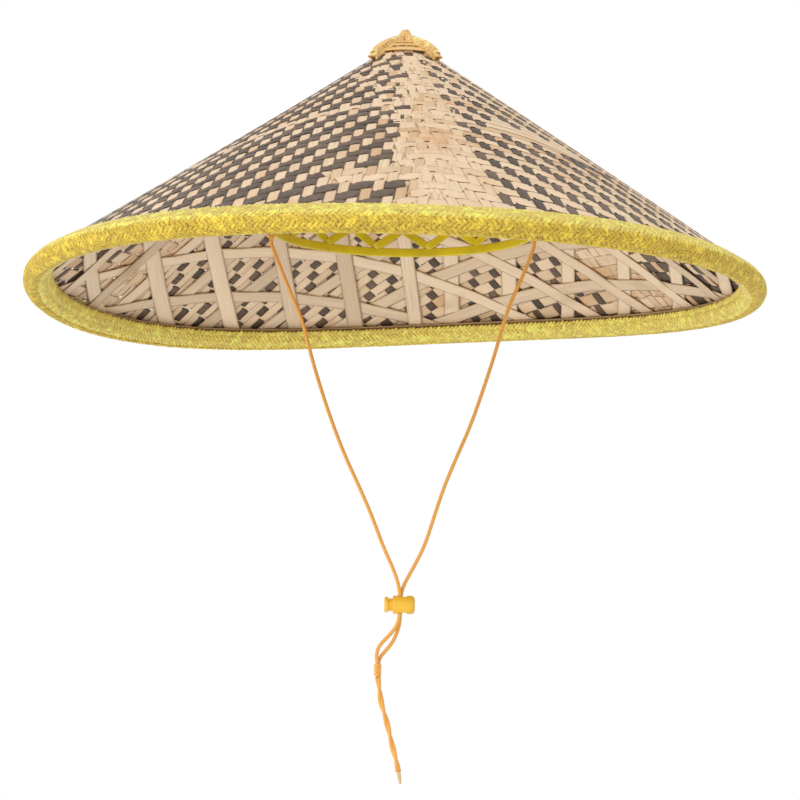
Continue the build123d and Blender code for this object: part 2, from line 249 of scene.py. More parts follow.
class Finish:
    """A principled material and short ways to add nodes to it."""

    def __init__(self, name, roughness, specular=0.5, coat=0.0):
        self.material = bpy.data.materials.new(name)
        self.material.use_nodes = True
        self.tree = self.material.node_tree
        self.shader = self.tree.nodes["Principled BSDF"]
        self.shader.inputs["Roughness"].default_value = roughness
        self.shader.inputs["Specular IOR Level"].default_value = specular
        self.shader.inputs["Coat Weight"].default_value = coat

    def add(self, kind, **settings):
        node = self.tree.nodes.new(kind)
        for name, value in settings.items():
            setattr(node, name, value)
        return node

    def wire(self, source, target):
        self.tree.links.new(source, target)

    def run_lines(self, across, along):
        """Noise drawn out along the strip's own run."""
        place = self.add("ShaderNodeUVMap", uv_map="run")
        return self.noise(place.outputs["UV"], (across, along, 1.0), 4.0)

    def spots(self, scale, detail=3.0):
        """Noise spread over the whole piece."""
        place = self.add("ShaderNodeTexCoord")
        return self.noise(place.outputs["Object"], (scale, scale, scale), detail)

    def noise(self, place, scale, detail):
        mapping = self.add("ShaderNodeMapping")
        mapping.inputs["Scale"].default_value = scale
        self.wire(place, mapping.inputs["Vector"])
        noise = self.add("ShaderNodeTexNoise")
        noise.inputs["Scale"].default_value = 1.0
        noise.inputs["Detail"].default_value = detail
        self.wire(mapping.outputs["Vector"], noise.inputs["Vector"])
        return noise.outputs["Fac"]

    def tone(self):
        return self.add("ShaderNodeAttribute", attribute_name="tone").outputs["Fac"]

    def ramp(self, value, *stops):
        """Colours at places from 0 to 1 along a value."""
        ramp = self.add("ShaderNodeValToRGB")
        elements = ramp.color_ramp.elements
        while len(elements) < len(stops):
            elements.new(0.5)
        for element, (place, colour) in zip(elements, stops):
            element.position = place
            element.color = (*colour, 1.0)
        self.wire(value, ramp.inputs["Fac"])
        return ramp.outputs["Color"]

    def mix(self, amount, first, second, mode="MIX"):
        mix = self.add("ShaderNodeMix", data_type="RGBA", blend_type=mode)
        for socket, value in ((0, amount), (6, first), (7, second)):
            if isinstance(value, bpy.types.NodeSocket):
                self.wire(value, mix.inputs[socket])
            elif socket:
                mix.inputs[socket].default_value = (*value, 1.0)
            else:
                mix.inputs[socket].default_value = value
        return mix.outputs[2]

    def range(self, value, low, high, to_low=0.0, to_high=1.0):
        spread = self.add("ShaderNodeMapRange")
        for name, number in (
            ("From Min", low), ("From Max", high), ("To Min", to_low), ("To Max", to_high),
        ):
            spread.inputs[name].default_value = number
        self.wire(value, spread.inputs["Value"])
        return spread.outputs["Result"]

    def colour(self, value):
        self.wire(value, self.shader.inputs["Base Color"])

    def bump(self, height, strength, distance):
        bump = self.add("ShaderNodeBump")
        bump.inputs["Strength"].default_value = strength
        bump.inputs["Distance"].default_value = distance
        self.wire(height, bump.inputs["Height"])
        self.wire(bump.outputs["Normal"], self.shader.inputs["Normal"])


def strip_finish(name, shade, middle, light, stain, stain_from, roughness=0.5):
    """Split bamboo: long fibres, a tone for each strip, and stains that cross the strips."""
    finish = Finish(name, roughness, specular=0.4)
    fibres = finish.run_lines(2600.0, 22.0)
    body = finish.ramp(fibres, (0.28, shade), (0.5, middle), (0.72, light))
    paler = finish.mix(0.55, middle, light)
    toned = finish.mix(finish.range(finish.tone(), 0.5, 1.0, 0.0, 0.7), body, paler)
    deeper = finish.mix(0.6, shade, stain)
    toned = finish.mix(finish.range(finish.tone(), 0.5, 0.0, 0.0, 0.8), toned, deeper)
    patches = finish.range(finish.spots(26.0), stain_from, stain_from + 0.2, 0.0, 0.6)
    finish.colour(finish.mix(patches, toned, stain))
    finish.bump(fibres, 0.35, 0.00025)
    return finish.material


def straw_finish(name, shade, middle, light, speck):
    """Dyed straw: fine streaks, paler and deeper straws, and small dark specks."""
    finish = Finish(name, 0.42, specular=0.5)
    streaks = finish.spots(900.0, 2.0)
    body = finish.ramp(streaks, (0.3, shade), (0.5, middle), (0.7, light))
    patches = finish.range(finish.spots(60.0), 0.45, 0.62, 0.0, 0.3)
    body = finish.mix(patches, body, shade)
    bright = finish.range(finish.spots(230.0, 1.0), 0.5, 0.68, 0.0, 0.8)
    body = finish.mix(bright, body, shade_of(light, 1.2))
    specks = finish.range(finish.spots(340.0, 1.0), 0.66, 0.74, 0.0, 0.7)
    finish.colour(finish.mix(specks, body, speck))
    finish.bump(streaks, 0.3, 0.0002)
    return finish.material


def plastic_finish(name, shade, middle, light, roughness=0.28):
    """Moulded plastic: nearly even colour, faint flow marks and a fine grain."""
    finish = Finish(name, roughness, specular=0.5, coat=0.15)
    flow = finish.spots(45.0)
    finish.colour(finish.ramp(flow, (0.3, shade), (0.5, middle), (0.75, light)))
    finish.bump(finish.spots(1500.0, 2.0), 0.04, 0.0001)
    return finish.material


def thread_finish(name, shade, middle, light, roughness=0.6, sheen=0.25):
    """Twisted fibre: short crossing threads over a slow change of tone."""
    finish = Finish(name, roughness, specular=0.35)
    finish.shader.inputs["Sheen Weight"].default_value = sheen
    threads = finish.spots(2400.0, 2.0)
    finish.colour(finish.ramp(threads, (0.32, shade), (0.5, middle), (0.68, light)))
    finish.bump(threads, 0.5, 0.0002)
    return finish.material


def steel_finish():
    """Drawn steel wire: grey, with fine lines."""
    finish = Finish("spring_wire", 0.3)
    finish.shader.inputs["Metallic"].default_value = 1.0
    drawn = finish.spots(1800.0, 2.0)
    finish.colour(finish.ramp(drawn, (0.3, (0.4, 0.41, 0.42)), (0.7, (0.55, 0.56, 0.57))))
    finish.bump(drawn, 0.2, 0.00005)
    return finish.material


def repaint(material, *nodes):
    """A CAD node whose shape is right gets its finish."""
    for name in nodes:
        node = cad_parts[name]
        node.data.materials.clear()
        node.data.materials.append(material)


# ---- geometry nodes: one small shape on every point of a carrier ----


class Tree:
    """A geometry node group with named size inputs."""

    def __init__(self, name, **sizes):
        self.group = bpy.data.node_groups.new(name, "GeometryNodeTree")
        faces = self.group.interface
        faces.new_socket("Geometry", in_out="INPUT", socket_type="NodeSocketGeometry")
        self.sizes = sizes
        for size in sizes:
            faces.new_socket(size, in_out="INPUT", socket_type="NodeSocketFloat")
        faces.new_socket("Geometry", in_out="OUTPUT", socket_type="NodeSocketGeometry")
        self.inputs = self.add("NodeGroupInput")

    def add(self, kind, wires=(), **values):
        """A node with its input sockets filled in by name or wired."""
        node = self.group.nodes.new(kind)
        for name, value in values.items():
            setattr(node, name, value)
        for name, source in wires:
            if isinstance(source, bpy.types.NodeSocket):
                self.group.links.new(source, node.inputs[name])
            else:
                node.inputs[name].default_value = source
        return node

    def stored(self, name, kind):
        """A value that the carrier keeps for each of its points."""
        node = self.add("GeometryNodeInputNamedAttribute", [("Name", name)], data_type=kind)
        return node.outputs[0]

    def finish(self, geometry, material):
        """Make the instances real, smooth and dressed in one material."""
        real = self.add("GeometryNodeRealizeInstances", [("Geometry", geometry)])
        smooth = self.add("GeometryNodeSetShadeSmooth", [("Geometry", real.outputs[0])])
        dressed = self.add("GeometryNodeSetMaterial", [
            ("Geometry", smooth.outputs[0]), ("Material", material),
        ])
        self.add("NodeGroupOutput", [("Geometry", dressed.outputs[0])])

    def grow(self, name, carrier):
        """The tree's result on a carrier mesh, as a plain mesh object."""
        obj = link(bpy.data.objects.new(name, carrier))
        modifier = obj.modifiers.new(name, "NODES")
        modifier.node_group = self.group
        for item in self.group.interface.items_tree:
            if item.in_out == "INPUT" and item.name in self.sizes:
                modifier[item.identifier] = self.sizes[item.name]
        graph = bpy.context.evaluated_depsgraph_get()
        mesh = bpy.data.meshes.new_from_object(obj.evaluated_get(graph))
        obj.modifiers.clear()
        obj.data = mesh
        return obj


def straw_tree(name, material, length, width, height, segments=6, rings=4):
    """Straws with pointed ends, laid along each point's run and facing outwards."""
    tree = Tree(name, Length=length, Width=width, Height=height)
    ball = tree.add("GeometryNodeMeshUVSphere", [
        ("Segments", segments), ("Rings", rings), ("Radius", 0.5),
    ])
    quarter = tree.add("GeometryNodeTransform", [
        ("Geometry", ball.outputs[0]), ("Rotation", (0.0, math.pi / 2, 0.0)),
    ])
    scale = tree.add("ShaderNodeCombineXYZ", [
        ("X", tree.inputs.outputs["Length"]),
        ("Y", tree.inputs.outputs["Width"]),
        ("Z", tree.inputs.outputs["Height"]),
    ])
    straw = tree.add("GeometryNodeTransform", [
        ("Geometry", quarter.outputs[0]), ("Scale", scale.outputs[0]),
    ])
    run = tree.stored("run", "FLOAT_VECTOR")
    facing = tree.stored("facing", "FLOAT_VECTOR")
    size = tree.stored("size", "FLOAT")
    turn = tree.add(
        "FunctionNodeAxesToRotation", [(0, facing), (1, run)],
        primary_axis="Z", secondary_axis="X",
    )
    spread = tree.add("GeometryNodeInstanceOnPoints", [
        ("Points", tree.inputs.outputs["Geometry"]),
        ("Instance", straw.outputs[0]),
        ("Rotation", turn.outputs[0]),
        ("Scale", size),
    ])
    tree.finish(spread.outputs[0], material)
    return tree


def carrier(name, points, facing, run, size=None):
    """Loose points that know which way they face and run."""
    mesh = bpy.data.meshes.new(name)
    mesh.vertices.add(len(points))
    mesh.vertices.foreach_set("co", np.asarray(points, np.float32).ravel())
    for label, vectors in (("facing", facing), ("run", run)):
        attribute = mesh.attributes.new(label, "FLOAT_VECTOR", "POINT")
        attribute.data.foreach_set("vector", np.asarray(vectors, np.float32).ravel())
    scale = mesh.attributes.new("size", "FLOAT", "POINT")
    sizes = np.ones(len(points)) if size is None else size
    scale.data.foreach_set("value", np.asarray(sizes, np.float32))
    return mesh


# ---- settings ----


def length_setting(name, description, default):
    return FloatProperty(
        name=name, description=description, default=default, unit="LENGTH", precision=5
    )


def colour_setting(name, description, default):
    return FloatVectorProperty(
        name=name, description=description, default=default, subtype="COLOR", min=0.0, max=1.0
    )


class HatMatSettings(bpy.types.PropertyGroup):
    pitch: length_setting("Pitch", "Distance between two strips near the tip", 6.7 * MM)
    cover: FloatProperty(
        name="Cover", description="Share of the pitch that a strip covers", default=0.97,
        subtype="FACTOR", min=0.1, max=1.0,
    )
    thickness: length_setting("Thickness", "Thickness of one strip", 0.45 * MM)
    natural: colour_setting("Natural", "Colour of the undyed strips", (0.87, 0.65, 0.43))
    dark: colour_setting("Dark", "Colour of the dyed strips", (0.118, 0.076, 0.048))


class HatLatticeSettings(bpy.types.PropertyGroup):
    pitch: length_setting("Pitch", "Distance between two parallel strips", 45.0 * MM)
    width: length_setting("Width", "Width of one lattice strip", 12.0 * MM)
    thickness: length_setting("Thickness", "Thickness of one lattice strip", 0.6 * MM)
    rows: IntProperty(name="Rows", description="Strips in each direction", default=6)
    colour: colour_setting("Colour", "Colour of the lattice strips", (0.88, 0.67, 0.46))


class HatBindingSettings(bpy.types.PropertyGroup):
    straw: length_setting("Straw", "Width of one straw of the braid", 3.7 * MM)
    colour: colour_setting("Colour", "Colour of the dyed straw", (0.68, 0.47, 0.045))
    pale: colour_setting("Pale", "Colour of the straw on both lips", (0.86, 0.66, 0.13))


class HatCordSettings(bpy.types.PropertyGroup):
    diameter: length_setting("Diameter", "Diameter of the chin cord", 2.4 * MM)
    colour: colour_setting("Colour", "Colour of the chin cord", (0.95, 0.45, 0.085))


SETTINGS = {
    "hat_mat": HatMatSettings,
    "hat_lattice": HatLatticeSettings,
    "hat_binding": HatBindingSettings,
    "hat_cord": HatCordSettings,
}


# ---- the chin cord ----

START_Z = -8.3
LEG_LEFT = (
    (-86.9, 0.0, START_Z), (-81.4, 0.0, -22.0), (-74.0, 0.0, -39.5), (-65.2, 0.0, -59.5),
    (-60.2, 0.0, -79.0), (-54.2, 0.0, -99.0), (-46.0, -0.2, -123.0), (-36.3, -0.4, -147.5),
    (-26.4, -0.7, -168.0), (-17.6, -1.0, -187.5), (-10.2, -1.2, -207.0), (-2.8, -1.3, -222.5),
    (0.6, -1.3, -232.5), (1.5, -1.3, -239.4), (1.6, -1.3, -245.0),
)
LEG_RIGHT = (
    (86.9, 0.0, START_Z), (80.8, 0.0, -25.5), (73.4, 0.0, -41.0), (67.2, 0.0, -59.0),
    (62.3, 0.0, -78.0), (54.6, 0.0, -102.5), (46.6, 0.2, -126.5), (37.8, 0.4, -147.0),
    (29.4, 0.7, -167.5), (23.0, 1.0, -187.5), (17.2, 1.2, -206.5), (9.6, 1.3, -221.5),
    (3.8, 1.3, -232.0), (1.8, 1.3, -239.4), (1.6, 1.3, -245.0),
)
STRAND_LEFT = (
    (1.6, -1.3, -245.1), (1.5, -1.3, -254.0), (-1.6, -1.3, -261.0), (-7.2, -1.3, -267.0),
    (-11.9, -1.3, -272.0), (-13.5, -1.3, -278.0), (-12.5, -1.3, -283.6), (-12.5, -1.3, -287.6),
    (-12.2, -1.3, -291.4),
)
STRAND_RIGHT = (
    (1.6, 1.3, -245.1), (2.0, 1.3, -253.5), (0.6, 1.3, -261.5), (-2.6, 1.3, -269.0),
    (-7.2, 1.3, -274.8), (-11.2, 1.3, -279.2), (-12.3, 1.3, -285.6), (-12.2, 1.3, -291.4),
)
TAIL = (
    (-12.2, 0.0, -291.6), (-11.0, 0.0, -300.0), (-9.6, 0.0, -309.5), (-6.4, 0.0, -319.0),
    (-4.0, 0.0, -328.5), (-1.8, 0.0, -337.5), (0.8, 0.0, -346.0), (1.9, 0.0, -352.0),
)
BAND_LOOP = (
    (86.9, 0.0, -8.6), (86.9, 0.0, -4.0), (89.6, 0.3, -1.5), (89.7, 0.6, 3.0), (89.6, 0.8, 8.4),
    (87.2, 0.8, 8.6), (84.8, 0.8, 8.4), (84.7, 0.4, 3.0), (84.9, 0.0, -1.5), (86.9, -0.3, -4.0),
    (86.9, -0.3, -7.0),
)
CORD_STEP = 0.45 * MM
CORD_SIDES = 16
PLAIT_LENGTH = 3.2 * MM     # one turn of a thread round the cord
PLAIT_DEPTH = 0.1           # how far the threads stand out, as a share of the radius
TAIL_TURNS = 2
SEALED_CLEAR = 0.3          # how much light the melted tip lets through


def route_line(points):
    """Points of the smooth line that a route's points control, in metres."""
    curve = bpy.data.curves.new("route", "CURVE")
    curve.dimensions = "3D"
    spline = curve.splines.new("NURBS")
    spline.points.add(len(points) - 1)
    for knot, point in zip(spline.points, points):
        knot.co = (*(MM * value for value in point), 1.0)
    spline.order_u = 3
    spline.use_endpoint_u = True
    spline.resolution_u = 24
    holder = link(bpy.data.objects.new("route", curve))
    bpy.context.view_layer.update()
    mesh = bpy.data.meshes.new_from_object(holder)
    line = np.array([vertex.co for vertex in mesh.vertices])
    bpy.data.objects.remove(holder)
    bpy.data.meshes.remove(mesh)
    return line


def even_steps(line, step):
    """Places on a line at even distances along it."""
    along = np.concatenate([[0.0], np.cumsum(np.linalg.norm(np.diff(line, axis=0), axis=1))])
    count = int(round(along[-1] / step)) + 1
    wanted = np.linspace(0.0, along[-1], count)
    places = np.stack([np.interp(wanted, along, line[:, k]) for k in range(3)], axis=1)
    return places, wanted


def cross_frame(line):
    """Two directions across a line. The cords lie close to the XZ plane, so +Y serves."""
    run = unit(np.gradient(line, axis=0))
    first = unit(np.cross(run, (0.0, 1.0, 0.0)))
    return first, np.cross(run, first)


def braided_tube(name, lines, radius, material):
    """Round cords with the raised threads of a fine braid, closed at both ends."""
    angle = np.arange(CORD_SIDES) * 2 * math.pi / CORD_SIDES
    points = []
    quads = []
    total = 0
    for line in lines:
        places, along = even_steps(line, CORD_STEP)
        first, second = cross_frame(places)
        twist = 2 * math.pi * along[:, None] / PLAIT_LENGTH
        threads = np.cos(2 * angle[None] + twist) * np.cos(2 * angle[None] - twist)
        reach = radius * (1 - PLAIT_DEPTH / 2 + PLAIT_DEPTH * threads)
        ring = places[:, None] + reach[:, :, None] * (
            np.cos(angle)[None, :, None] * first[:, None]
            + np.sin(angle)[None, :, None] * second[:, None]
        )
        points.append(ring.reshape(-1, 3))
        quads.append(tube_quads(len(places), CORD_SIDES) + total)
        total += len(places) * CORD_SIDES
    return mesh_piece(name, np.concatenate(points), np.concatenate(quads), material)


def twisted(line, radius, turns):
    """Two lines wound round a line, at a radius from it."""
    places, along = even_steps(line, CORD_STEP)
    first, second = cross_frame(places)
    angle = 2 * math.pi * turns * along / along[-1]
    offset = radius * (np.cos(angle)[:, None] * first + np.sin(angle)[:, None] * second)
    return places + offset, places - offset


class HAT_OT_chin_cord(bpy.types.Operator):
    """Make the chin cord: two legs, two strands, the twisted tail and its whipping"""
    bl_idname = "hat.chin_cord"
    bl_label = "Chin cord"

    def execute(self, context):
        settings = context.scene.hat_cord
        orange = thread_finish("orange_cord", *shades(settings.colour, 0.72, 1.15))
        radius = settings.diameter / 2
        for side, leg, strand in (
            ("left", LEG_LEFT, STRAND_LEFT), ("right", LEG_RIGHT, STRAND_RIGHT),
        ):
            line = route_line(leg)
            piece = braided_tube(f"cord_leg_{side}_braid", [line], radius, orange)
            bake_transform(piece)
            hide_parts(f"cord_leg_{side}")
            line = route_line(strand)
            piece = braided_tube(f"cord_strand_{side}_braid", [line], radius, orange)
            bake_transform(piece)
            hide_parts(f"cord_strand_{side}")
        self.tail(orange, radius)
        self.loops(orange, radius)
        repaint(orange, "cord_whipping")
        pale = (0.92, 0.66, 0.33)
        sealed = plastic_finish("sealed_end", shade_of(pale, 0.8), pale, (1.0, 0.8, 0.5), 0.3)
        shader = sealed.node_tree.nodes["Principled BSDF"]
        shader.inputs["Transmission Weight"].default_value = SEALED_CLEAR
        repaint(sealed, "cord_tip")
        return {"FINISHED"}

    def tail(self, orange, radius):
        """Both strands twisted into one, from the whipping down to the sealed tip."""
        line = route_line(TAIL)
        strand = 0.92 * radius
        apart = 0.66 * radius
        piece = braided_tube("cord_tail_braid", twisted(line, apart, TAIL_TURNS), strand, orange)
        keep(piece, "chin_cord", "orange_cord", "cord_tail")

    def loops(self, orange, radius):
        """Each leg goes once round the lower band of the head ring and back to itself."""
        for side, sign in (("left", -1), ("right", 1)):
            route = [(sign * x, y, z) for x, y, z in BAND_LOOP]
            piece = braided_tube(f"cord_loop_{side}", [route_line(route)], radius, orange)
            keep(piece, "hat", "orange_cord", f"cord_knot_{side}")


# ---- the outer mat ----

RAYS = 3
FIRST_RIDGE = math.radians(6.0)
SECTOR_TURN = 2 * math.pi / RAYS * LEAN     # unrolled angle between two ridges
SECTORS = ("right", "back", "left")
MOUTH = 14.0 * MM                           # slant distance of the hole under the finial
MAT_MIDDLE = -0.675 * MM
MAT_SWING = 0.40 * MM
SPLICE_LEAN = 0.087
SPLICE_LAP = 10.0 * MM
SHORT_FLOAT_SPREAD = 0.24                   # how far a short float pushes its neighbours back
ROW_GROWTH_AT = 250.0 * MM                  # reach at which the rows have grown to their most
ROW_GROWTH = 5.8 * MM
PLACES_IN_CROSSING = np.array([-0.43, -0.22, 0.22, 0.43])
PUSH_IN_CROSSING = np.array([0.75, 1.0, 1.0, 0.75])
EDGE_SHARE = 0.62                           # a float's own part in its height at its edge
EDGE_HOLD = 0.45                            # how much longer a short float keeps its height
FILLER_ROWS = 7                             # rows past the tip, in the wedge beside a ridge
CUT_BACK = 4.0 * MM                         # strips this near the cut edge are left out
LAP_SINK = 0.25 * MM                        # a natural strip goes under at its splice
LAP_WIDTH = 0.9
LONG_NATURAL_ROWS = ((122 * MM, 300 * MM), (231 * MM, 62 * MM))     # reach, and how far left
CALM_ROWS = (128 * MM, 148 * MM)            # rows on the right that float over all strips
CALM_STRIPS = (2, 13)
GAP_ROWS = (148 * MM, 156 * MM)             # below them, dark strips that nothing crosses
GAP_STRIPS = (9, 15)


def row_reaches(pitch):
    """Distances of the strips from the tip. They lie wider apart towards the rim."""
    reaches = [pitch / 2]
    while reaches[-1] < SLANT:
        growth = ROW_GROWTH * min(1.0, (reaches[-1] / ROW_GROWTH_AT) ** 3.5)
        reaches.append(reaches[-1] + pitch + growth)
    return np.array(reaches)


def short_is_over(sector, long_row, short_row):
    """Twill: a strip of the short floats shows outside at every third crossing."""
    if sector == 1:
        return (short_row - long_row) % 3 == 0
    return (long_row - short_row) % 3 == 0


# Which set a sector's short floats belong to: 0 for its own ridge's, 1 for the next ridge's.
SHORT_SET = (1, 0, 0)


class HAT_OT_mat(bpy.types.Operator):
    """Weave the outer mat: three sectors of strips that cross in a twill"""
    bl_idname = "hat.mat"
    bl_label = "Outer mat"

    def execute(self, context):
        settings = context.scene.hat_mat
        self.reaches = row_reaches(settings.pitch)
        self.pitch = settings.pitch
        self.cover = settings.cover
        self.thick = settings.thickness
        self.chance = np.random.default_rng(SEED)
        self.dark = [Bundle() for _ in SECTORS]
        self.natural = [Bundle() for _ in SECTORS]
        for ray in range(RAYS):
            for row in range(len(self.reaches)):
                if self.reaches[row] < SLANT - CUT_BACK:
                    self.row(ray, row)
            for row in range(-1, -FILLER_ROWS - 1, -1):
                self.filler(ray, row, 1)
                self.filler(ray, row, -1)
        natural_skin = strip_finish(
            "natural_bamboo", *shades(settings.natural, 0.6, 1.15), (0.7, 0.38, 0.15), 0.52
        )
        dark_skin = strip_finish(
            "dark_bamboo", *shades(settings.dark, 0.4, 2.3), shade_of(settings.dark, 0.55), 0.5,
            roughness=0.42,
        )
        for sector, name in enumerate(SECTORS):
            piece = self.dark[sector].piece(f"mat_dark_{name}", dark_skin)
            keep(piece, "hat", "dark_bamboo", f"dark_strips_{name}")
            piece = self.natural[sector].piece(f"mat_natural_{name}", natural_skin)
            keep(piece, "hat", "natural_bamboo", f"natural_strips_{name}")
        return {"FINISHED"}

    def ray_turn(self, ray):
        return FIRST_RIDGE * LEAN + ray * SECTOR_TURN

    def reach_of(self, row):
        """Reach of a row. Rows below zero lie past the tip, in the wedge beside a ridge."""
        return self.reaches[row] if row >= 0 else -(-row - 0.5) * self.pitch

    def spacing(self, row):
        if row < 0:
            return self.pitch
        near = min(row, len(self.reaches) - 2)
        far = min(row + 1, len(self.reaches) - 1)
        return self.reaches[far] - self.reaches[near]

    def over_short(self, sector, long_row, short_row):
        """Whether the short float shows, with the hand-made faults of the right side."""
        if sector == 0 and long_row >= 0:
            reach = self.reach_of(long_row)
            if CALM_ROWS[0] < reach < CALM_ROWS[1] and CALM_STRIPS[0] < short_row < CALM_STRIPS[1]:
                return False
            if GAP_ROWS[0] < reach < GAP_ROWS[1] and GAP_STRIPS[0] < short_row < GAP_STRIPS[1]:
                return True
        return short_is_over(sector, long_row, short_row)

    def side(self, ray, row, way):
        """Stations of one strip on the side of its ridge that way points to.

        Gives distance along, height, and how far each edge is pushed in by a neighbour's
        short float, as a share of the strip's spacing."""
        sector = ray if way > 0 else (ray - 1) % RAYS
        mine = 0 if way > 0 else 1
        short = SHORT_SET[sector] == mine
        reach = self.reach_of(row)
        skew = math.cos(SECTOR_TURN)
        square = math.sin(SECTOR_TURN)
        end = math.sqrt(SLANT ** 2 - reach ** 2)
        start = max(0.0, -reach * square)
        table = []
        for other in range(-FILLER_ROWS if row >= 0 else 0, len(self.reaches) - 1):
            along = (self.reach_of(other) - reach * skew) / square
            half = self.spacing(other) / square
            if along < start - 0.5 * half or along > end + half:
                continue
            if short:
                state = 1.0 if self.over_short(sector, other, row) else -1.0
                push_out = push_in = 0.0
            else:
                state = -1.0 if self.over_short(sector, row, other) else 1.0
                push_out = 1.0 if self.over_short(sector, row + 1, other) else 0.0
                push_in = 1.0 if self.over_short(sector, row - 1, other) else 0.0
                if state < 0:
                    push_out = push_in = 0.0
            table.append((along, half, state, push_out, push_in))
        if not table:
            return np.zeros((0, 4))
        along, half, state, push_out, push_in = np.array(sorted(table)).T
        before = np.concatenate([state[:1], state[:-1]])
        after = np.concatenate([state[1:], state[-1:]])
        places = along[:, None] + half[:, None] * PLACES_IN_CROSSING
        hold = EDGE_HOLD if short else 0.0
        edge_in, edge_out = (
            EDGE_SHARE * state + (1 - EDGE_SHARE) * near + hold * (state != near)
            for near in (before, after)
        )
        heights = np.stack([edge_in, state, state, edge_out], axis=1)
        pushes = [push[:, None] * PUSH_IN_CROSSING for push in (push_out, push_in)]
        columns = [places, heights, *pushes]
        stations = np.stack([column.ravel() for column in columns], axis=1)
        keep_here = (stations[:, 0] > start) & (stations[:, 0] < end)
        return stations[keep_here]

    def lay(self, bundle, ray, row, stations, sink=0.0, narrow=1.0):
        """Put one strip into a bundle, from its stations."""
        reach = self.reach_of(row)
        stations = stations[np.hypot(reach, stations[:, 0]) > MOUTH]
        if len(stations) < 4:
            return
        along, height, push_out, push_in = stations.T
        chance = self.chance
        phase = chance.uniform(0, 6.28)
        spacing = self.spacing(row)
        sway = 0.03 * spacing * np.sin(along / (38 * MM) + phase)
        sway += 0.5 * SHORT_FLOAT_SPREAD * spacing * (push_in - push_out)
        lift = MAT_MIDDLE + MAT_SWING * height - sink
        centre, normal = on_line(self.ray_turn(ray), reach + sway, along, lift)
        width = spacing * self.cover * chance.uniform(0.94, 1.03) * narrow
        edge = width * (1 - SHORT_FLOAT_SPREAD * np.maximum(push_out, push_in))
        edge *= 1 + 0.02 * np.sin(along / (9 * MM) + 2 * phase)
        tone = chance.beta(2.2, 2.0)
        bundle.strip(centre, normal, edge, self.thick, tone, chance.uniform(0, 9))

    def row(self, ray, row):
        """One strip right across a ridge: dark before the splice, natural after it."""
        reach = self.reach_of(row)
        left = self.side(ray, row, -1)[::-1] * np.array([-1, 1, 1, 1])
        stations = np.concatenate([left, self.side(ray, row, 1)])
        along = stations[:, 0]
        splice = -SPLICE_LEAN * reach + self.chance.uniform(-0.8, 0.8) * self.pitch
        if ray == 0:
            for long_reach, extent in LONG_NATURAL_ROWS:
                if abs(reach - long_reach) < self.spacing(row) / 2:
                    splice = -extent
        before = stations[along < splice]
        after = stations[along > splice - SPLICE_LAP]
        self.lay(self.dark[(ray - 1) % RAYS], ray, row, before)
        natural = self.natural[ray]
        lap = after[:, 0] < splice + self.pitch / 2
        if lap.sum() > 3:
            self.lay(natural, ray, row, after[lap], LAP_SINK, LAP_WIDTH)
        self.lay(natural, ray, row, after[~lap])

    def filler(self, ray, row, way):
        """A strip in the wedge beside the next ridge, where the rows have turned past it."""
        sector = ray if way > 0 else (ray - 1) % RAYS
        stations = self.side(ray, row, way)
        if way < 0:
            stations = stations[::-1] * np.array([-1, 1, 1, 1])
        self.lay(self.natural[sector], ray, row, stations)


# ---- the lattice inside the mat ----

WAYS = 5
WAY_TURN = 2 * math.pi / WAYS * LEAN
LATTICE_START = math.radians(-7.2) * LEAN   # unrolled angle of the first direction
LATTICE_MIDDLE = -2.35 * MM
LATTICE_SWING = 0.55 * MM
LATTICE_STEP = 4.0 * MM
LATTICE_CROSSING = 9.0 * MM                 # how far a strip rises on each side of another
LATTICE_LETTERS = "abcde"


class HAT_OT_lattice(bpy.types.Operator):
    """Make the open lattice of wide strips that lines the mat"""
    bl_idname = "hat.lattice"
    bl_label = "Lattice"

    def execute(self, context):
        settings = context.scene.hat_lattice
        chance = np.random.default_rng(SEED + 1)
        skin = strip_finish(
            "lattice_bamboo", *shades(settings.colour, 0.72, 1.18), (0.42, 0.27, 0.12), 0.62
        )
        for way in range(WAYS):
            bundle = Bundle()
            for row in range(settings.rows):
                reach = (row + 0.5) * settings.pitch
                end = math.sqrt(SLANT ** 2 - reach ** 2)
                along = np.linspace(-end, end, int(2 * end / LATTICE_STEP))
                height = self.heights(way, row, along, settings)
                bow = chance.uniform(-1.5, 1.5) * MM * np.cos(along / end * 1.5)
                centre, normal = on_line(
                    LATTICE_START + way * WAY_TURN, reach + bow, along,
                    LATTICE_MIDDLE + LATTICE_SWING * height,
                )
                width = settings.width * chance.uniform(0.88, 1.04)
                bundle.strip(
                    centre, normal, width, settings.thickness, chance.beta(2.5, 2.0),
                    chance.uniform(0, 9),
                )
            letter = LATTICE_LETTERS[way]
            piece = bundle.piece(f"lattice_{letter}", skin)
            keep(piece, "hat", "lattice_bamboo", f"lattice_strips_{letter}")
        return {"FINISHED"}

    def heights(self, way, row, along, settings):
        """Over and under the strips of the other directions."""
        reach = (row + 0.5) * settings.pitch
        total = np.zeros_like(along)
        for step in (1, 2, 3, 4):
            turn = step * WAY_TURN if step < 3 else (step - WAYS) * WAY_TURN
            sign = 1.0 if step in (1, 2) else -1.0
            for other in range(settings.rows):
                far = (other + 0.5) * settings.pitch
                crossing = (far - reach * math.cos(turn)) / math.sin(turn)
                total += sign * np.exp(-((along - crossing) / LATTICE_CROSSING) ** 2)
        return np.clip(total, -1, 1)


# ---- the rim: braided binding, hoops and stitches ----

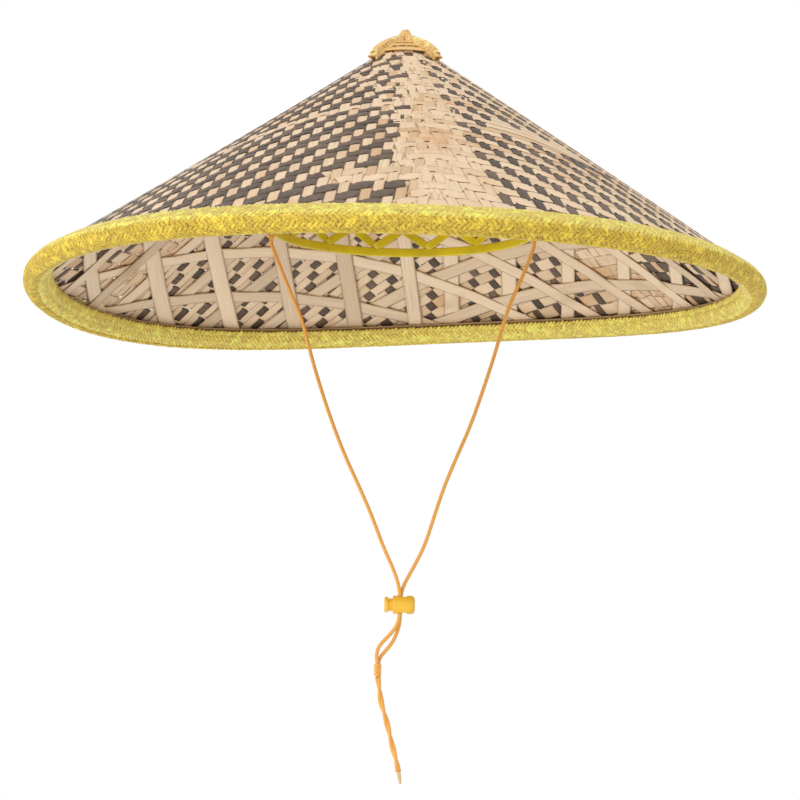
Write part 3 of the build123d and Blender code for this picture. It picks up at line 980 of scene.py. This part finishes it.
LIP_R = 230.3 * MM
SHOULDER = (238.5 * MM, -33.0 * MM)
BULGE = (242.0 * MM, -38.6 * MM)
BOTTOM = (236.5 * MM, -45.6 * MM)
UNDER = (229.2 * MM, -42.2 * MM)
INNER_LIP = (225.2 * MM, -34.4 * MM)
LIP_RISE = 1.2 * MM                         # the outer lip lies this far above the wall
TAPE_T = 1.4 * MM
STRAW_LEAN = math.radians(42.0)
STRAW_SHAPE = (2.2, 0.8, 0.4)               # length, width and height, in widths of straw
STITCHES = 96
STITCH_R = 233.2 * MM
STITCH_LIFT = 0.45 * MM
STITCH_SIZE = (5.0 * MM, 0.8 * MM, 0.7 * MM)
INNER_HOOP_W = 5.0 * MM
INNER_HOOP_T = 1.1 * MM
INNER_HOOP_DEPTH = 4.3 * MM                 # its middle, below the wall's outer face
HOOP_STEPS = 240
TAPE_STEPS = 360


def arc_through(first, middle, last, count):
    """Points on the circle through three points, from the first to the last."""
    (ax, ay), (bx, by), (cx, cy) = first, middle, last
    d = 2 * (ax * (by - cy) + bx * (cy - ay) + cx * (ay - by))
    squares = [x * x + y * y for x, y in (first, middle, last)]
    ux = (squares[0] * (by - cy) + squares[1] * (cy - ay) + squares[2] * (ay - by)) / d
    uy = (squares[0] * (cx - bx) + squares[1] * (ax - cx) + squares[2] * (bx - ax)) / d
    radius = math.hypot(ax - ux, ay - uy)
    angles = np.unwrap([
        math.atan2(y - uy, x - ux) for x, y in (first, middle, last)
    ])
    sweep = np.linspace(angles[0], angles[2], count)
    return np.stack([ux + radius * np.cos(sweep), uy + radius * np.sin(sweep)], axis=1)


def binding_outline():
    """The outer line of the folded tape, from its outer lip round to its inner lip."""
    lip = (LIP_R, TIP_Z - CONE_FALL * LIP_R + LIP_RISE)
    flat = np.linspace(lip, SHOULDER, 6)
    outer = arc_through(SHOULDER, BULGE, BOTTOM, 14)
    inner = arc_through(BOTTOM, UNDER, INNER_LIP, 11)
    return np.concatenate([flat, outer[1:], inner[1:]])


def round_rim(outline, azimuths):
    """Settled points and outward normals where an outline in (radius, height) goes round."""
    run = unit(np.gradient(outline, axis=0))
    normal = np.stack([-run[:, 1], run[:, 0]], axis=1)
    if normal[len(normal) // 2, 1] > 0 or normal[0, 1] < 0:
        normal = -normal
    spin = outward(azimuths)[:, None]
    points = spin * outline[None, :, :1]
    points[:, :, 2] = outline[None, :, 1]
    facing = spin * normal[None, :, :1]
    facing[:, :, 2] = normal[None, :, 1]
    return settle(points.reshape(-1, 3)).reshape(points.shape), facing


class HAT_OT_binding(bpy.types.Operator):
    """Fold the braided straw tape round the rim, and stitch it"""
    bl_idname = "hat.binding"
    bl_label = "Rim binding"

    def execute(self, context):
        settings = context.scene.hat_binding
        skin = straw_finish(
            "yellow_straw", *shades(settings.colour, 0.62, 1.35), (0.33, 0.2, 0.02)
        )
        pale_skin = straw_finish(
            "pale_straw", *shades(settings.pale, 0.66, 1.25), (0.4, 0.27, 0.05)
        )
        outline = binding_outline()
        self.tape(outline, skin)
        self.braid(outline, {"lip": pale_skin, "roll": skin, "fold": pale_skin}, settings.straw)
        self.stitches()
        self.hoops()
        return {"FINISHED"}

    def hoops(self):
        """The round core hoop in the roll and the flat hoop inside the wall."""
        wood = strip_finish(
            "hoop_bamboo", (0.35, 0.22, 0.1), (0.5, 0.34, 0.17), (0.62, 0.45, 0.25),
            (0.3, 0.18, 0.07), 0.6,
        )
        azimuths = whole_turn(HOOP_STEPS)
        out = outward(azimuths)
        low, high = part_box("rim_core_hoop")
        width = high.z - low.z
        core = Bundle(ROUND)
        centre = (high.x - width / 2) * out + np.array([0, 0, (low.z + high.z) / 2])
        core.strip(settle(centre), out, width, width, 0.5, loop=True)
        keep(core.piece("hoop_core", wood), "hat", "hoop_bamboo", "rim_core_hoop")
        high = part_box("rim_inner_hoop")[1]
        slant = np.full(HOOP_STEPS, (high.x - INNER_HOOP_W / 2) / LEAN)
        centre, normal = on_wall(slant, azimuths * LEAN, -INNER_HOOP_DEPTH)
        flat = Bundle(ROUNDED)
        flat.strip(centre, normal, INNER_HOOP_W / LEAN, INNER_HOOP_T, 0.5, loop=True)
        keep(flat.piece("hoop_inner", wood), "hat", "hoop_bamboo", "rim_inner_hoop")

    def tape(self, outline, skin):
        """The tape's own body, closed, with the braid's straws lying on it."""
        outside, facing = round_rim(outline, whole_turn(TAPE_STEPS))
        inside = outside - TAPE_T * facing
        ring = np.concatenate([outside, inside[:, ::-1]], axis=1)
        quads = tube_quads(TAPE_STEPS, ring.shape[1], loop=True)[:, [0, 3, 2, 1]]
        piece = mesh_piece("binding_tape", ring.reshape(-1, 3), quads, skin)
        keep(piece, "hat", "yellow_braid", "rim_binding")

    def braid(self, outline, skins, straw):
        """Short straws in rows round the rim, leaning by turns to each side."""
        steps = np.concatenate([
            [0.0], np.cumsum(np.linalg.norm(np.diff(outline, axis=0), axis=1))
        ])
        rows = int(round(steps[-1] / straw))
        middles = (np.arange(rows) + 0.5) * steps[-1] / rows
        line = np.stack([np.interp(middles, steps, outline[:, k]) for k in (0, 1)], axis=1)
        count = int(2 * math.pi * RIM_R / (0.95 * straw))
        chance = np.random.default_rng(SEED + 2)
        bands = (
            (0, rows // 3, "lip"),
            (rows // 3, 2 * rows // 3, "roll"),
            (2 * rows // 3, rows, "fold"),
        )
        for low, high, label in bands:
            points = []
            faces = []
            runs = []
            for row in range(low, high):
                azimuths = (np.arange(count) + 0.5 * (row % 2)) * 2 * math.pi / count
                place, facing = round_rim(line, azimuths)
                place = place[:, row]
                facing = facing[:, row]
                around = sideways(azimuths)
                across = np.cross(facing, around)
                lean = STRAW_LEAN * (1 if row % 2 else -1)
                lean = lean + chance.normal(0, 0.08, count)
                run = np.cos(lean)[:, None] * around + np.sin(lean)[:, None] * across
                points.append(place + facing * 0.02 * MM)
                faces.append(facing)
                runs.append(run)
            size = chance.uniform(0.88, 1.08, sum(len(p) for p in points))
            carried = carrier(
                f"binding_{label}", np.concatenate(points), np.concatenate(faces),
                np.concatenate(runs), size,
            )
            tree = straw_tree(
                f"straw_braid_{label}", skins[label], *(share * straw for share in STRAW_SHAPE)
            )
            piece = tree.grow(f"binding_braid_{label}", carried)
            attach(piece, "hat")

    def stitches(self):
        """A row of short threads round the top of the binding."""
        thread = thread_finish(
            "stitch_thread", (0.5, 0.4, 0.12), (0.72, 0.6, 0.25), (0.85, 0.76, 0.42)
        )
        azimuths = np.arange(STITCHES) * 2 * math.pi / STITCHES
        lip_z = TIP_Z - CONE_FALL * LIP_R + LIP_RISE
        fall = (lip_z - SHOULDER[1]) / (SHOULDER[0] - LIP_R)
        height = SHOULDER[1] + fall * (SHOULDER[0] - STITCH_R) + STITCH_LIFT
        steps = np.array([-MM, 0.0, MM])
        outline = np.stack([STITCH_R + steps, height - fall * steps], axis=1)
        place, facing = round_rim(outline, azimuths)
        around = sideways(azimuths)
        tree = straw_tree("stitch_row", thread, *STITCH_SIZE, 8, 5)
        facing = facing[:, 1] * np.sign(facing[:1, 1, 2])
        carried = carrier("stitches", place[:, 1], facing, around)
        piece = tree.grow("stitch_row", carried)
        keep(piece, "hat", "stitch_thread", "binding_stitches")


# ---- the finial ----

RIB_NAMES = ("front_right", "back_right", "back_left", "front_left")
RUNG_NAMES = ("front", "right", "back", "left")
RIB_IN = 5.0 * MM
RIB_OUT = 29.5 * MM
RIB_W = 6.0 * MM
RIB_CREST = (               # radius and height along the bulging back of a rib, in mm
    (3.0, 135.2), (5.0, 134.6), (9.2, 132.8), (15.7, 130.0), (20.4, 127.4), (25.1, 123.8),
    (28.0, 120.6), (29.5, 117.5),
)
RIB_STEPS = 14
PLAIT_LEAN = math.radians(40.0)
PLAIT_STRAW = (6.0 * MM, 2.6 * MM, 1.4 * MM)
RUNGS = ((9.2, 1.8), (13.4, 2.2), (19.6, 4.6))      # radius and width, in mm
RUNG_STEPS = 15
RUNG_LIFT = 1.6 * MM
RUNG_T = 0.9 * MM
KNOT_LOOPS = 3
KNOT_R = 5.0 * MM
KNOT_W = 4.8 * MM
KNOT_T = 1.2 * MM


class HAT_OT_finial(bpy.types.Operator):
    """Plait the finial: four ribs, the rungs between them and the top knot"""
    bl_idname = "hat.finial"
    bl_label = "Finial"

    def execute(self, context):
        base = (0.94, 0.58, 0.22)
        skin = strip_finish(
            "orange_rattan", *shades(base, 0.6, 1.25), (0.55, 0.24, 0.05), 0.58, roughness=0.35
        )
        straw = straw_finish("orange_straw", *shades(base, 0.62, 1.3), (0.4, 0.17, 0.03))
        for k, name in enumerate(RIB_NAMES):
            self.rib(name, math.radians(45 + 90 * k), skin, straw)
        for k, name in enumerate(RUNG_NAMES):
            self.rungs(name, math.radians(90 * k), skin)
        self.knot(skin)
        return {"FINISHED"}

    def rib(self, name, azimuth, skin, straw):
        """A thick core and a plait of short straws over its back and both flanks."""
        radius = np.linspace(RIB_IN - 2 * MM, RIB_OUT, RIB_STEPS)
        out = outward(azimuth)
        around = sideways(azimuth)
        crest = MM * np.interp(radius / MM, *np.array(RIB_CREST).T) - 0.9 * MM
        foot = TIP_Z - CONE_FALL * radius + 0.8 * MM
        tall = (crest - foot) * LEAN
        centre = radius[:, None] * out + np.outer((crest + foot) / 2, (0, 0, 1))
        run = unit(np.gradient(centre, axis=0))
        up = np.cross(run, -around)
        up = up * np.sign(up[:1, 2])
        core = Bundle(ROUNDED)
        core.strip(centre, up, RIB_W * 0.72, tall, 0.35)
        piece = core.piece(f"finial_core_{name}", skin)
        keep(piece, "hat", "orange_rattan", f"finial_rib_{name}")
        points = []
        runs = []
        faces = []
        for k in range(1, RIB_STEPS):
            back = centre[k] + up[k] * tall[k] / 2
            for side in (-1, 1):
                lean = PLAIT_LEAN * side
                points.append(back + side * around * 1.3 * MM - up[k] * 0.1 * MM)
                runs.append(run[k] * math.cos(lean) - around * math.sin(lean))
                faces.append(up[k] + side * 0.5 * around)
                for level in (-0.3, 0.1):
                    points.append(centre[k] + side * around * 2.3 * MM + up[k] * tall[k] * level)
                    runs.append(run[k] + 0.8 * up[k] * (1 if level > 0 else -1))
                    faces.append(side * around)
        tree = straw_tree(f"plait_{name}", straw, *PLAIT_STRAW, 8, 6)
        plait = tree.grow(f"finial_plait_{name}", carrier(name, points, faces, runs))
        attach(plait, "hat")

    def rungs(self, name, azimuth, skin):
        """Three strips bent round the cone between two ribs."""
        bundle = Bundle()
        for radius, width in RUNGS:
            radius = radius * MM
            half = math.pi / 4 - 0.5 * RIB_W / radius * 0.7
            angles = azimuth + np.linspace(-half, half, RUNG_STEPS)
            slant = np.full(RUNG_STEPS, radius / LEAN)
            centre, normal = on_wall(slant, angles * LEAN, RUNG_LIFT)
            bundle.strip(centre, normal, width * MM, RUNG_T, 0.6, radius)
        piece = bundle.piece(f"finial_rungs_{name}_strips", skin)
        keep(piece, "hat", "orange_rattan", f"finial_rungs_{name}")

    def knot(self, skin):
        """Three flat loops of the same strip, crossed over the tip."""
        low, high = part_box("finial_knot")
        bundle = Bundle()
        middle = np.array([0.0, 0.0, low.z])
        for k in range(KNOT_LOOPS):
            out = outward(math.radians(20 + 60 * k))
            angle = np.linspace(-0.1, math.pi + 0.1, 17)
            wide = KNOT_R - 0.25 * k * MM
            tall = high.z - low.z - (1.0 - 0.3 * k) * MM
            centre = middle + np.cos(angle)[:, None] * wide * out
            centre[:, 2] += np.sin(angle) * tall
            normal = np.cos(angle)[:, None] * out + np.outer(np.sin(angle), (0, 0, 1))
            bundle.strip(centre, normal, KNOT_W, KNOT_T, 0.4 + 0.2 * k, 0.3 * k)
        piece = bundle.piece("finial_top_knot", skin)
        keep(piece, "hat", "orange_rattan", "finial_knot")


# ---- the head ring ----

RING_T = 1.6 * MM
SLAT_COUNT = 15
SLAT_HALF_RUN = 40.0 * MM
SLAT_W = 5.5 * MM
SLAT_T = 0.75 * MM
SLAT_TURN = math.radians(1.0)
SLAT_DEPTHS = {1: 0.4 * MM, -1: 1.2 * MM}   # middles below the band's face, for each lean
SLAT_STEPS = 25
BAND_STEPS = 192


class HAT_OT_head_ring(bpy.types.Operator):
    """Make the plastic head ring: two bands, the slats between them and the ties"""
    bl_idname = "hat.head_ring"
    bl_label = "Head ring"

    def execute(self, context):
        base = (0.76, 0.6, 0.014)
        plastic = plastic_finish("ring_plastic", *shades(base, 0.8, 1.15), 0.25)
        for name in ("lower", "upper"):
            self.band(name, plastic)
        self.slats("right", 1, plastic)
        self.slats("left", -1, plastic)
        repaint(plastic, "head_ring_ties")
        return {"FINISHED"}

    def band(self, name, plastic):
        """A plain hoop with rounded edges."""
        low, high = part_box(f"head_ring_{name}_band")
        radius = high.x - RING_T / 2
        normal = outward(whole_turn(BAND_STEPS))
        centre = radius * normal + np.array([0, 0, (low.z + high.z) / 2])
        bundle = Bundle(ROUNDED)
        bundle.strip(centre, normal, high.z - low.z, RING_T, 0.5, loop=True)
        piece = bundle.piece(f"ring_{name}_band", plastic)
        keep(piece, "hat", "ring_plastic", f"head_ring_{name}_band")

    def slats(self, name, way, plastic):
        """The slats that lean one way, from the lower band up to the upper one."""
        low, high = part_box(f"head_ring_slats_{name}")
        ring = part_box("head_ring_lower_band")[1].x
        radius = ring - SLAT_DEPTHS[way]
        half = SLAT_HALF_RUN / ring
        share = np.linspace(0, 1, SLAT_STEPS)
        bundle = Bundle(ROUNDED)
        for k in range(SLAT_COUNT):
            azimuths = k * 2 * math.pi / SLAT_COUNT + way * (half * (2 * share - 1) + SLAT_TURN)
            normal = outward(azimuths)
            centre = radius * normal
            centre[:, 2] = low.z + (high.z - low.z) * share
            bundle.strip(centre, normal, SLAT_W, SLAT_T, 0.5, 0.1 * k)
        piece = bundle.piece(f"ring_slats_{name}", plastic)
        keep(piece, "hat", "ring_plastic", f"head_ring_slats_{name}")


# ---- the cord lock ----

COIL_WIRE = 0.28 * MM
COIL_INSET = 0.3 * MM       # the wire's middle, inside the spring's own box
COIL_TURNS = 4
COIL_STEPS = 24             # points in one turn


class HAT_OT_lock(bpy.types.Operator):
    """Give the cord lock's barrel and plunger their finish, and wind its spring"""
    bl_idname = "hat.cord_lock"
    bl_label = "Cord lock"

    def execute(self, context):
        base = (0.98, 0.56, 0.045)
        orange = plastic_finish("lock_plastic", *shades(base, 0.85, 1.12), 0.22)
        repaint(orange, "lock_body", "lock_plunger")
        self.spring()
        return {"FINISHED"}

    def spring(self):
        """A coil of wire in the spring's place, between the plunger and the end of the bore."""
        low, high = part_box("lock_spring")
        angle = np.linspace(0, 2 * math.pi * COIL_TURNS, COIL_STEPS * COIL_TURNS + 1)
        radius = (high.z - low.z) / 2 - COIL_INSET
        centre = np.stack([
            np.linspace(low.x + COIL_INSET, high.x - COIL_INSET, len(angle)),
            (low.y + high.y) / 2 + radius * np.cos(angle),
            (low.z + high.z) / 2 + radius * np.sin(angle),
        ], axis=1)
        coil = Bundle(ROUND)
        coil.strip(centre, np.array([1.0, 0.0, 0.0]), COIL_WIRE, COIL_WIRE)
        piece = coil.piece("lock_coil", steel_finish())
        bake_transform(piece)
        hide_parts("lock_spring")


# ---- camera and light ----

CAMERA_AT = (-0.3 * MM, -1490.1 * MM, -282.8 * MM)
CAMERA_RISE = math.radians(6.58)
CAMERA_ROLL = math.radians(0.8)
CAMERA_LENS = 102.7
WORLD_LIGHT = 0.74
LIGHTS = (                  # name, place, size and power
    ("key", (-1.6, -2.2, 2.0), 2.2, 31.0),
    ("fill", (2.2, -1.6, 1.2), 2.4, 9.0),
    ("bounce", (-1.5, -1.0, -0.9), 2.0, 15.0),
)


class HAT_OT_stage(bpy.types.Operator):
    """Set up the camera and the soft studio light"""
    bl_idname = "hat.stage"
    bl_label = "Stage"

    def execute(self, context):
        self.camera(context.scene)
        for light in LIGHTS:
            self.light(*light)
        self.world(context.scene)
        context.scene.view_settings.view_transform = "Standard"
        return {"FINISHED"}

    def world(self, scene):
        """White all round: brighter behind the hat than the light that it gives."""
        world = bpy.data.worlds.new("studio")
        world.use_nodes = True
        tree = world.node_tree
        lighting = tree.nodes["Background"]
        lighting.inputs["Color"].default_value = (1.0, 1.0, 1.0, 1.0)
        lighting.inputs["Strength"].default_value = WORLD_LIGHT
        backdrop = tree.nodes.new("ShaderNodeBackground")
        backdrop.inputs["Color"].default_value = (1.0, 1.0, 1.0, 1.0)
        path = tree.nodes.new("ShaderNodeLightPath")
        mix = tree.nodes.new("ShaderNodeMixShader")
        tree.links.new(path.outputs["Is Camera Ray"], mix.inputs[0])
        tree.links.new(lighting.outputs[0], mix.inputs[1])
        tree.links.new(backdrop.outputs[0], mix.inputs[2])
        tree.links.new(mix.outputs[0], tree.nodes["World Output"].inputs["Surface"])
        scene.world = world

    def camera(self, scene):
        data = bpy.data.cameras.new("camera")
        data.lens = CAMERA_LENS
        data.sensor_width = 36.0
        camera = link(bpy.data.objects.new("camera", data))
        aim = Vector((0.0, math.cos(CAMERA_RISE), math.sin(CAMERA_RISE)))
        turn = aim.to_track_quat("-Z", "Y").to_matrix().to_4x4()
        camera.matrix_world = turn
        camera.location = CAMERA_AT
        camera.rotation_euler.rotate_axis("Z", CAMERA_ROLL)
        scene.camera = camera

    def light(self, name, place, size, power):
        data = bpy.data.lights.new(name, "AREA")
        data.size = size
        data.energy = power
        light = link(bpy.data.objects.new(name, data))
        light.location = place
        light.rotation_euler = (-Vector(place)).to_track_quat("-Z", "Y").to_euler()


# ---- the add-on ----


class HAT_PT_panel(bpy.types.Panel):
    """The hat's settings and one button for each of its pieces"""
    bl_idname = "HAT_PT_panel"
    bl_label = "Conical hat"
    bl_space_type = "VIEW_3D"
    bl_region_type = "UI"
    bl_category = "Hat"

    def draw(self, context):
        for group, kind in SETTINGS.items():
            box = self.layout.box()
            for name in kind.__annotations__:
                box.prop(getattr(context.scene, group), name)
        for operator in OPERATORS:
            self.layout.operator(operator.bl_idname)


OPERATORS = (
    HAT_OT_stage, HAT_OT_chin_cord, HAT_OT_mat, HAT_OT_lattice, HAT_OT_binding, HAT_OT_finial,
    HAT_OT_head_ring, HAT_OT_lock,
)


def register():
    for kind in (*SETTINGS.values(), *OPERATORS, HAT_PT_panel):
        bpy.utils.register_class(kind)
    for group, kind in SETTINGS.items():
        setattr(bpy.types.Scene, group, PointerProperty(type=kind))


def unregister():
    for group in SETTINGS:
        delattr(bpy.types.Scene, group)
    for kind in (HAT_PT_panel, *reversed(OPERATORS), *SETTINGS.values()):
        bpy.utils.unregister_class(kind)


def main():
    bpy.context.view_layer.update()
    register()
    for operator in OPERATORS:
        family, name = operator.bl_idname.split(".")
        getattr(getattr(bpy.ops, family), name)()


if __name__ == "__main__":
    main()
